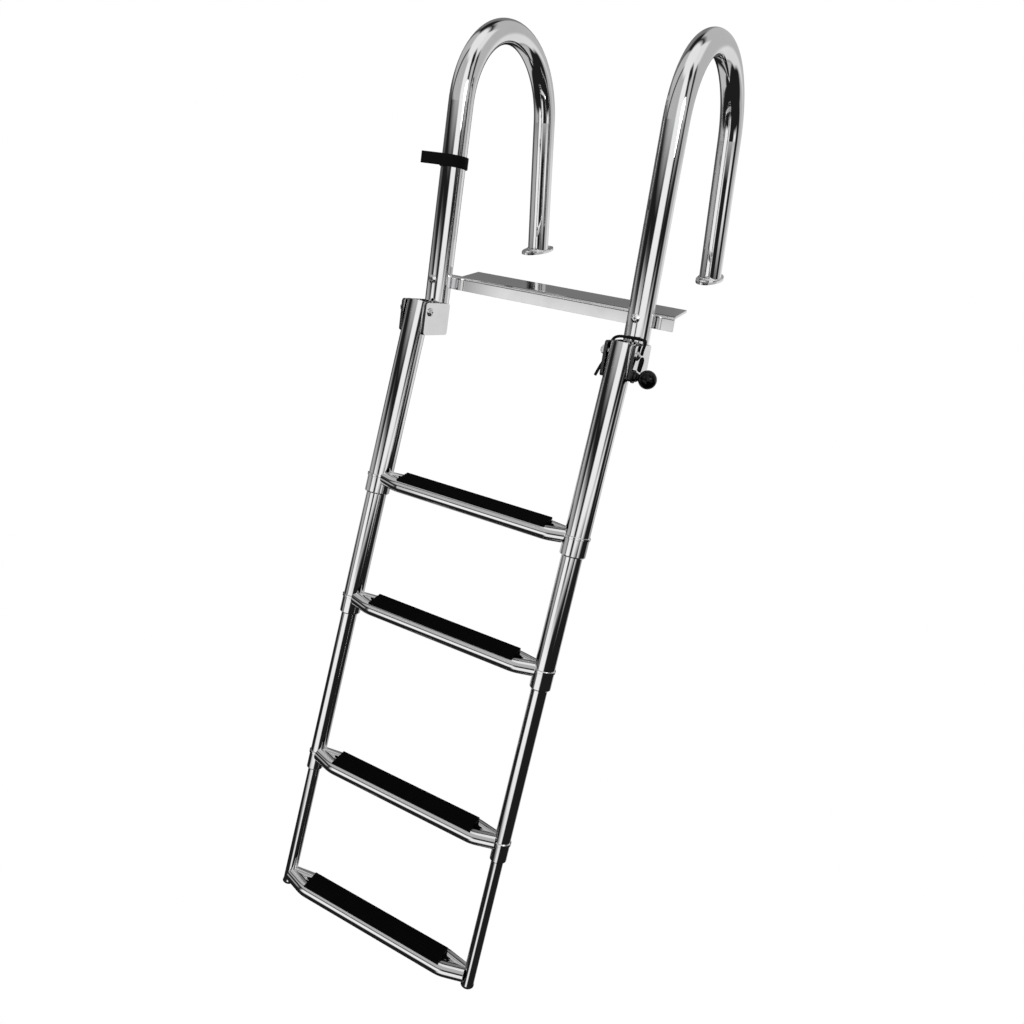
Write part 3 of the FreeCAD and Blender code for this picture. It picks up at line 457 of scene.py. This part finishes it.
# Storage strap: one length of webbing, from its free end round the leg and under itself.
strap = {
    "height": 0.139,
    "width": 0.015,
    "web": 0.0014,
    "tabWeb": 0.0026,
    "tab": 0.0375,
    "outerRadius": 0.0185,
    "innerRadius": 0.0170,
    "overlap": 40,
    "tabSteps": 15,
    "tabSag": 0.0006,
    "turnStep": 6,
    "tuckedBy": 340,
    "stitch": 0.0016,
    "stitchProud": 0.0002,
    "stitchRows": (-0.035, -0.0225, -0.0125),
    "stitchesPerRow": 7,
    "stitchFrom": 0.14,
    "stitchPitch": 0.12,
}


def strapLine(spec):
    # Points of the strap's middle line with the webbing's thickness at each: the tab, then the turn.
    line = []
    for k in range(spec["tabSteps"]):
        share = k / spec["tabSteps"]
        sag = spec["tabSag"] * math.sin(share * math.pi)
        thick = spec["tabWeb"] + (spec["web"] - spec["tabWeb"]) * share ** 3
        line.append((-spec["tab"] * (1 - share), -spec["outerRadius"] - sag, thick))
    last = 360 + spec["overlap"]
    for k in range(0, last + 1, spec["turnStep"]):
        turn = math.radians(k - 90)
        tucked = min(1.0, k / spec["tuckedBy"])
        radius = spec["outerRadius"] + (spec["innerRadius"] - spec["outerRadius"]) * tucked
        line.append((radius * math.cos(turn), radius * math.sin(turn), spec["web"]))
    return line


def strapSection(width, thick):
    # A flat band with rounded selvedges, as (across, out) pairs.
    half, bulge = width / 2, thick / 2
    top = [(-half, 0.0), (-half * 0.97, bulge * 0.75), (-half * 0.9, bulge)]
    top += [(half * x, bulge * (0.94 if k % 2 else 1.0)) for k, x in enumerate((-0.6, -0.3, 0.0, 0.3, 0.6))]
    top += [(half * 0.9, bulge), (half * 0.97, bulge * 0.75)]
    return top + [(-x, -y) for x, y in top]


def weaveStrap(spec):
    line = strapLine(spec)
    form = bmesh.new()
    uv = form.loops.layers.uv.new("weave")
    rings, along = [], [0.0]
    for k, (x, y, thick) in enumerate(line):
        before, after = line[max(k - 1, 0)], line[min(k + 1, len(line) - 1)]
        ahead = Vector((after[0] - before[0], after[1] - before[1], 0)).normalized()
        outward = Vector((ahead.y, -ahead.x, 0))
        ring = [
            form.verts.new(Vector((x, y, spec["width"] / 2 + across)) + outward * out)
            for across, out in strapSection(spec["width"], thick)
        ]
        rings.append(ring)
        if k:
            along.append(along[-1] + math.dist(line[k][:2], line[k - 1][:2]))
    count = len(rings[0])
    for k in range(len(rings) - 1):
        for j in range(count):
            after = (j + 1) % count
            face = form.faces.new((rings[k][j], rings[k][after], rings[k + 1][after], rings[k + 1][j]))
            face.smooth = True
            for loop, step in zip(face.loops, (k, k, k + 1, k + 1)):
                loop[uv].uv = (along[step], loop.vert.co.z)
    for ring in (rings[0], rings[-1]):
        form.faces.new(ring)
    # Rows of thread across the tab.
    top = -spec["outerRadius"] - spec["tabWeb"] / 2 - spec["stitchProud"]
    for x in spec["stitchRows"]:
        for k in range(spec["stitchesPerRow"]):
            z = spec["width"] * (spec["stitchFrom"] + spec["stitchPitch"] * k)
            made = bmesh.ops.create_icosphere(form, subdivisions=1, radius=spec["stitch"] / 2)
            bmesh.ops.scale(form, vec=(0.35, 0.35, 0.9), verts=made["verts"])
            bmesh.ops.translate(form, vec=(x, top, z), verts=made["verts"])
    bmesh.ops.recalc_face_normals(form, faces=form.faces)
    piece = finishForm(form, "strapWebbing", webBlack)
    piece.matrix_world = (
        Matrix.Translation((-halfPitch, legAtDeck + spec["height"] * math.tan(legRake), spec["height"]))
        @ Matrix.Rotation(-legRake, 4, "X")
    )
    return piece


webbing = weaveStrap(strap)
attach(webbing, "handrails")
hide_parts("storage_strap")
print("strap woven")


# Painted shade of the driver recesses in the bolts' heads: a thin black cross on each head, with no hollow
# under it
# Seats are measured from the leg's middle line, and the drop from the deck's level.
recess = {
    "arm": 0.0019, "half": 0.00045, "depth": 0.0001, "lift": 0.00002, "head": 0.0032,
    "legSeat": 0.0161, "cheekSeat": 0.0197, "legDrop": 0.0015,
}


def crossRecessShade(name, middle, axis, spec):
    # A black cross lying on the flat of the head: painted shade standing in for the hollow of a driver
    # recess.
    arm, half = spec["arm"], spec["half"]
    outline = [
        (arm, -half), (arm, half), (half, half), (half, arm), (-half, arm), (-half, half),
        (-arm, half), (-arm, -half), (-half, -half), (-half, -arm), (half, -arm), (half, -half),
    ]
    form = bmesh.new()
    face = form.faces.new([form.verts.new((x, y, 0)) for x, y in outline])
    walls = bmesh.ops.extrude_face_region(form, geom=[face])
    lifted = [item for item in walls["geom"] if isinstance(item, bmesh.types.BMVert)]
    bmesh.ops.translate(form, vec=(0, 0, spec["depth"]), verts=lifted)
    bmesh.ops.recalc_face_normals(form, faces=form.faces)
    mark = finishForm(form, name, housingBlack)
    direction = Vector(axis).normalized()
    mark.matrix_world = (
        Matrix.Translation(Vector(middle) + direction * (spec["head"] + spec["lift"]))
        @ direction.to_track_quat("Z", "Y").to_matrix().to_4x4()
    )
    return mark


legOut = Vector((0, -math.cos(legRake), math.sin(legRake)))
legBolt = Vector((0, legAtDeck - recess["legDrop"] * math.tan(legRake), -recess["legDrop"]))
for side, sign in (("left", -1), ("right", 1)):
    across = Vector((sign * halfPitch, 0, 0))
    for piece, middle, axis in (
        (f"{side}LegRecessShade", legBolt + across + legOut * recess["legSeat"], legOut),
        (f"{side}PivotRecessShade", Vector((recess["cheekSeat"], pivot.y, pivot.z)) + across, (1, 0, 0)),
    ):
        mark = crossRecessShade(piece, middle, axis, recess)
        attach(mark, "handrails")
print("recesses marked")


# Lock knob
knobTurning = {
    "reach": 0.019,
    "ball": 0.0111,
    "neck": 0.0038,
    "pin": 0.0025,
    "hub": 0.0065,
    "root": 0.0034,
    "collar": 1.15,
    "collarFoot": 0.0008,
    "collarTop": 0.0016,
    "crownAngle": 0.16,
    "rows": 24,
    "partingRow": 13,
    "ridge": 0.00012,
    "cheek": 0.0196,
    "drop": 0.024,
    "sides": 48,
}


def turnKnob(spec):
    # A moulded ball with a parting line and a small flat on its crown, on a waisted neck and its pin.
    pin, neck, hub, crown = (spec[key] for key in ("pin", "neck", "hub", "crownAngle"))
    collar = neck * spec["collar"]
    profile = [
        (0.0, -spec["root"]), (pin, -spec["root"]), (pin, hub), (collar, hub),
        (collar, hub + spec["collarFoot"]), (neck, hub + spec["collarTop"]),
    ]
    start = math.asin(neck / spec["ball"])
    for k in range(spec["rows"] + 1):
        turn = start + (math.pi - crown - start) * k / spec["rows"]
        radius = spec["ball"] + (spec["ridge"] if k == spec["partingRow"] else 0.0)
        profile.append((radius * math.sin(turn), spec["reach"] - radius * math.cos(turn)))
    profile.append((0.0, spec["reach"] + spec["ball"] * math.cos(crown)))
    form = bmesh.new()
    chain = [form.verts.new((radius, 0, height)) for radius, height in profile]
    for first, second in zip(chain, chain[1:]):
        form.edges.new((first, second))
    bmesh.ops.spin(form, geom=form.verts[:] + form.edges[:], axis=(0, 0, 1), cent=(0, 0, 0), dvec=(0, 0, 0),
                   angle=2 * math.pi, steps=spec["sides"], use_merge=True)
    bmesh.ops.remove_doubles(form, verts=form.verts, dist=1e-6)
    bmesh.ops.recalc_face_normals(form, faces=form.faces)
    for face in form.faces:
        face.smooth = True
    knob = finishForm(form, "knobBall", knobBlack)
    middle = pivot - stileUp * spec["drop"] + Vector((halfPitch + spec["cheek"], 0, 0))
    knob.matrix_world = Matrix.Translation(middle) @ Matrix.Rotation(math.pi / 2, 4, "Y")
    return knob


knob = turnKnob(knobTurning)
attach(knob, "knob")
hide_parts("lock_knob")
print("knob turned")


# Deck angle
deckAngle = {
    "thickness": 0.003,
    "bend": 0.005,
    "depth": 0.044,
    "lip": 0.018,
    "lipSpan": (-0.160, 0.1835),
    "flangeSpan": (-0.124, 0.1835),
    "steps": 8,
}


def foldAngle(spec):
    # The folded strip's outer line from the flange's inboard edge over the bend to the lip's foot,
    # swept between its two ends; the flange starts beside the left leg, the lip behind it.
    thick, bend = spec["thickness"], spec["bend"]
    edge = -spec["depth"] / 2
    down = Vector((0, -math.sin(legRake), -math.cos(legRake)))
    setback = bend * math.tan((math.pi / 2 - legRake) / 2)
    corner = Vector((0, edge, thick))
    arcStart = corner + Vector((0, setback, 0))
    middle = arcStart - Vector((0, 0, bend))
    line = [(Vector((0, spec["depth"] / 2, thick)), Vector((0, 0, 1))), (arcStart, Vector((0, 0, 1)))]
    for k in range(1, spec["steps"] + 1):
        turn = (math.pi / 2 - legRake) * k / spec["steps"]
        out = Vector((0, -math.sin(turn), math.cos(turn)))
        line.append((middle + out * bend, out))
    line.append((corner + down * spec["lip"], line[-1][1]))
    form = bmesh.new()
    for first, last, span in ((0, 1, "flangeSpan"), (1, len(line) - 1, "lipSpan")):
        rows = line[first:last + 1]
        left, right = spec[span]
        rings = [
            [
                form.verts.new(point + Vector((x, 0, 0)) - out * inset)
                for point, out in rows for inset in (0.0, thick)
            ]
            for x in (left, right)
        ]
        count = len(rows)
        for k in range(count - 1):
            a, b = rings
            form.faces.new((a[2 * k], b[2 * k], b[2 * k + 2], a[2 * k + 2]))
            form.faces.new((a[2 * k + 1], a[2 * k + 3], b[2 * k + 3], b[2 * k + 1]))
            form.faces.new((a[2 * k], a[2 * k + 2], a[2 * k + 3], a[2 * k + 1]))
            form.faces.new((b[2 * k], b[2 * k + 1], b[2 * k + 3], b[2 * k + 2]))
        for k in (0, count - 1):
            a, b = rings
            form.faces.new((a[2 * k], a[2 * k + 1], b[2 * k + 1], b[2 * k]))
    bmesh.ops.recalc_face_normals(form, faces=form.faces)
    for face in form.faces:
        face.smooth = False
    return finishForm(form, "foldedAngle", plateSteel)


folded = foldAngle(deckAngle)
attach(folded, "handrails")
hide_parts("deck_angle")
print("deck angle folded")


# Weld beads
weld = {
    "tube": 0.016, "foot": 0.0035, "bead": 0.0017, "sink": 0.35, "girth": 0.75, "sides": 8,
    "ripples": 46, "stepsPerRipple": 4, "ripple": 0.13, "drift": 0.06,
}


def ringBead(name, middle, axis, radius, spec):
    # A rippled fillet bead round a tube where it meets a plate.
    form = bmesh.new()
    rings = []
    steps = spec["ripples"] * spec["stepsPerRipple"]
    for k in range(steps):
        turn = 2 * math.pi * k / steps
        ripple = spec["ripple"] * math.sin(turn * spec["ripples"])
        swell = 1 + ripple + spec["drift"] * math.sin(turn * 5 + 1.3)
        girth = spec["bead"] * spec["girth"] * swell
        ring = []
        for j in range(spec["sides"]):
            across = 2 * math.pi * j / spec["sides"]
            reach = radius + spec["bead"] * spec["sink"] + girth * math.cos(across)
            spot = (reach * math.cos(turn), reach * math.sin(turn), girth * math.sin(across))
            ring.append(form.verts.new(spot))
        rings.append(ring)
    for k in range(steps):
        for j in range(spec["sides"]):
            after = (k + 1) % steps
            beside = (j + 1) % spec["sides"]
            face = form.faces.new((rings[k][j], rings[after][j], rings[after][beside], rings[k][beside]))
            face.smooth = True
    bmesh.ops.recalc_face_normals(form, faces=form.faces)
    bead = finishForm(form, name, weldSteel)
    facing = Vector(axis).to_track_quat("Z", "Y").to_matrix().to_4x4()
    bead.matrix_world = Matrix.Translation(middle) @ facing
    return bead


mounts = {mount["name"]: Vector(mount["pos_m"]) for mount in record["mounts"]}
for side in ("left", "right"):
    seat = mounts[f"{side}_foot_seat"]
    bead = ringBead(f"{side}FootWeld", seat + Vector((0, 0, weld["foot"])), (0, 0, 1), weld["tube"], weld)
    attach(bead, "handrails")
print("welds laid")

# Floor, lights and backdrop
studio = {
    "floorHeight": -1.6,
    "floorSide": 14.0,
    "white": 1.0,
    "roomLight": 0.55,
    "softboxes": {
        "keySoftbox": {"spot": (-1.6, -2.2, 2.2), "size": (1.4, 2.2), "power": 60.0},
        "fillSoftbox": {"spot": (2.4, -1.2, 1.4), "size": (1.2, 2.0), "power": 20.0},
    },
    "target": (0, 0, -0.2),
}


def addFloor(spec):
    mesh = bpy.data.meshes.new("paleFloor")
    half = spec["floorSide"] / 2
    z = spec["floorHeight"]
    corners = [(-half, -half, z), (half, -half, z), (half, half, z), (-half, half, z)]
    mesh.from_pydata(corners, [], [(0, 1, 2, 3)])
    floor = placeMesh(mesh, "paleFloor")
    material, tree, surface = freshMaterial("paleFloor")
    surface.inputs["Base Color"].default_value = (0.9, 0.9, 0.9, 1)
    surface.inputs["Roughness"].default_value = 0.9
    output = next(node for node in tree.nodes if node.type == "OUTPUT_MATERIAL")
    seen = addNode(tree, "ShaderNodeLightPath")
    glow = addNode(tree, "ShaderNodeEmission", values={"Strength": spec["white"]})
    choose = addNode(tree, "ShaderNodeMixShader")
    tree.links.new(seen.outputs["Is Camera Ray"], choose.inputs["Fac"])
    tree.links.new(surface.outputs["BSDF"], choose.inputs[1])
    tree.links.new(glow.outputs["Emission"], choose.inputs[2])
    tree.links.new(choose.outputs["Shader"], output.inputs["Surface"])
    mesh.materials.append(material)
    floor.visible_glossy = False


def addSoftbox(name, spot, target, size, power):
    lamp = bpy.data.lights.new(name, "AREA")
    lamp.shape = "RECTANGLE"
    lamp.size, lamp.size_y = size
    lamp.energy = power
    box = bpy.data.objects.new(name, lamp)
    bpy.context.scene.collection.objects.link(box)
    box.location = spot
    box.rotation_euler = (Vector(target) - Vector(spot)).to_track_quat("-Z", "Y").to_euler()


def toneAt(spec, azimuth, elevation):
    # Each panel covers what lies behind it and fades out over a few degrees at its edges.
    tone = spec["room"]
    for left, right, low, high, paper in spec["panels"].values():
        inset = min(azimuth - left, right - azimuth, elevation - low, high - elevation)
        tone += (paper - tone) * min(1.0, max(0.0, inset / spec["fade"] + 0.5))
    return tone


def addSurround(name, spec):
    # A dark room with pale panels and two black flags round the set, which only polished surfaces see.
    across = range(spec["from"], spec["from"] + 361, spec["step"])
    levels = range(-90, 91, spec["step"])
    corners, tones = [], []
    for level in levels:
        rise = math.radians(level)
        for azimuth in across:
            turn = math.radians(azimuth)
            flat = spec["radius"] * math.cos(rise)
            corners.append((math.sin(turn) * flat, -math.cos(turn) * flat,
                            spec["middle"] + spec["radius"] * math.sin(rise)))
            tones.append(toneAt(spec, azimuth, level))
    wide = len(across)
    faces = [
        (k * wide + j, k * wide + j + 1, (k + 1) * wide + j + 1, (k + 1) * wide + j)
        for k in range(len(levels) - 1) for j in range(wide - 1)
    ]
    mesh = bpy.data.meshes.new(name)
    mesh.from_pydata(corners, [], faces)
    shade = mesh.attributes.new("tone", "FLOAT", "POINT")
    for spot, tone in zip(shade.data, tones):
        spot.value = tone
    dome = placeMesh(mesh, name)
    material = bpy.data.materials.new(name)
    material.use_nodes = True
    tree = material.node_tree
    tree.nodes.clear()
    output = addNode(tree, "ShaderNodeOutputMaterial")
    reading = addNode(tree, "ShaderNodeAttribute", {"attribute_name": "tone"})
    paper = addNode(tree, "ShaderNodeEmission", values={"Strength": 1.0})
    tree.links.new(reading.outputs["Fac"], paper.inputs["Color"])
    tree.links.new(paper.outputs["Emission"], output.inputs["Surface"])
    mesh.materials.append(material)
    dome.visible_camera = False
    dome.visible_diffuse = False
    dome.visible_shadow = False


def addWorld(spec):
    world = bpy.data.worlds.new("studioWorld")
    world.use_nodes = True
    tree = world.node_tree
    tree.nodes.clear()
    output = addNode(tree, "ShaderNodeOutputWorld")
    wall = addNode(tree, "ShaderNodeBackground", values={"Color": (1, 1, 1, 1), "Strength": 1.0})
    room = addNode(
        tree, "ShaderNodeBackground", values={"Color": (0.9, 0.9, 0.9, 1), "Strength": spec["roomLight"]}
    )
    seen = addNode(tree, "ShaderNodeLightPath")
    either = mathNode(tree, "MAXIMUM", seen.outputs["Is Camera Ray"], seen.outputs["Is Glossy Ray"])
    choose = addNode(tree, "ShaderNodeMixShader")
    tree.links.new(either, choose.inputs["Fac"])
    tree.links.new(room.outputs["Background"], choose.inputs[1])
    tree.links.new(wall.outputs["Background"], choose.inputs[2])
    tree.links.new(choose.outputs["Shader"], output.inputs["Surface"])
    bpy.context.scene.world = world


addWorld(studio)
addFloor(studio)
for name, box in studio["softboxes"].items():
    addSoftbox(name, box["spot"], studio["target"], box["size"], box["power"])
# Each panel: azimuth from and to, elevation from and to, in degrees, and its tone.
studioRoom = {
    "from": -155, "step": 2, "radius": 3.2, "middle": -0.25, "room": 0.014, "fade": 7.0,
    "panels": {
        "leftWall": (-142, -76, -12, 28, 0.09),
        "leftPanel": (-90, -42, -7, 7, 0.42),
        "backFloorLeft": (-150, -96, -62, -14, 0.55),
        "backFloorRight": (150, 196, -72, -32, 0.5),
        "backWallLeft": (-200, -128, 8, 50, 0.2),
        "backWallRight": (190, 250, 8, 50, 0.2),
        "rightWall": (108, 192, -12, 62, 0.5),
        "rightCorner": (138, 190, -30, 5, 0.78),
        "leftHaze": (-122, -76, 26, 90, 0.5),
        "frontHaze": (-64, 20, 26, 82, 0.48),
        "frontWindow": (-34, 15, -14, 15, 0.97),
        "floorStrip": (-6, 15, -31, -10, 0.9),
        "tallWindow": (15, 59, 6, 82, 0.95),
        "sideWindow": (59, 81, -4, 6, 0.9),
        "slimPanel": (76, 97, 17, 50, 0.55),
        "ceilingPanel": (86, 145, 48, 90, 0.82),
        "overhead": (-200, 250, 70, 110, 0.88),
        "frontFlag": (-2, 14, 6, 25, 0.015),
        "sideFlag": (97, 107, 6, 49, 0.015),
    },
}
addSurround("greyDome", studioRoom)
print("studio lit")
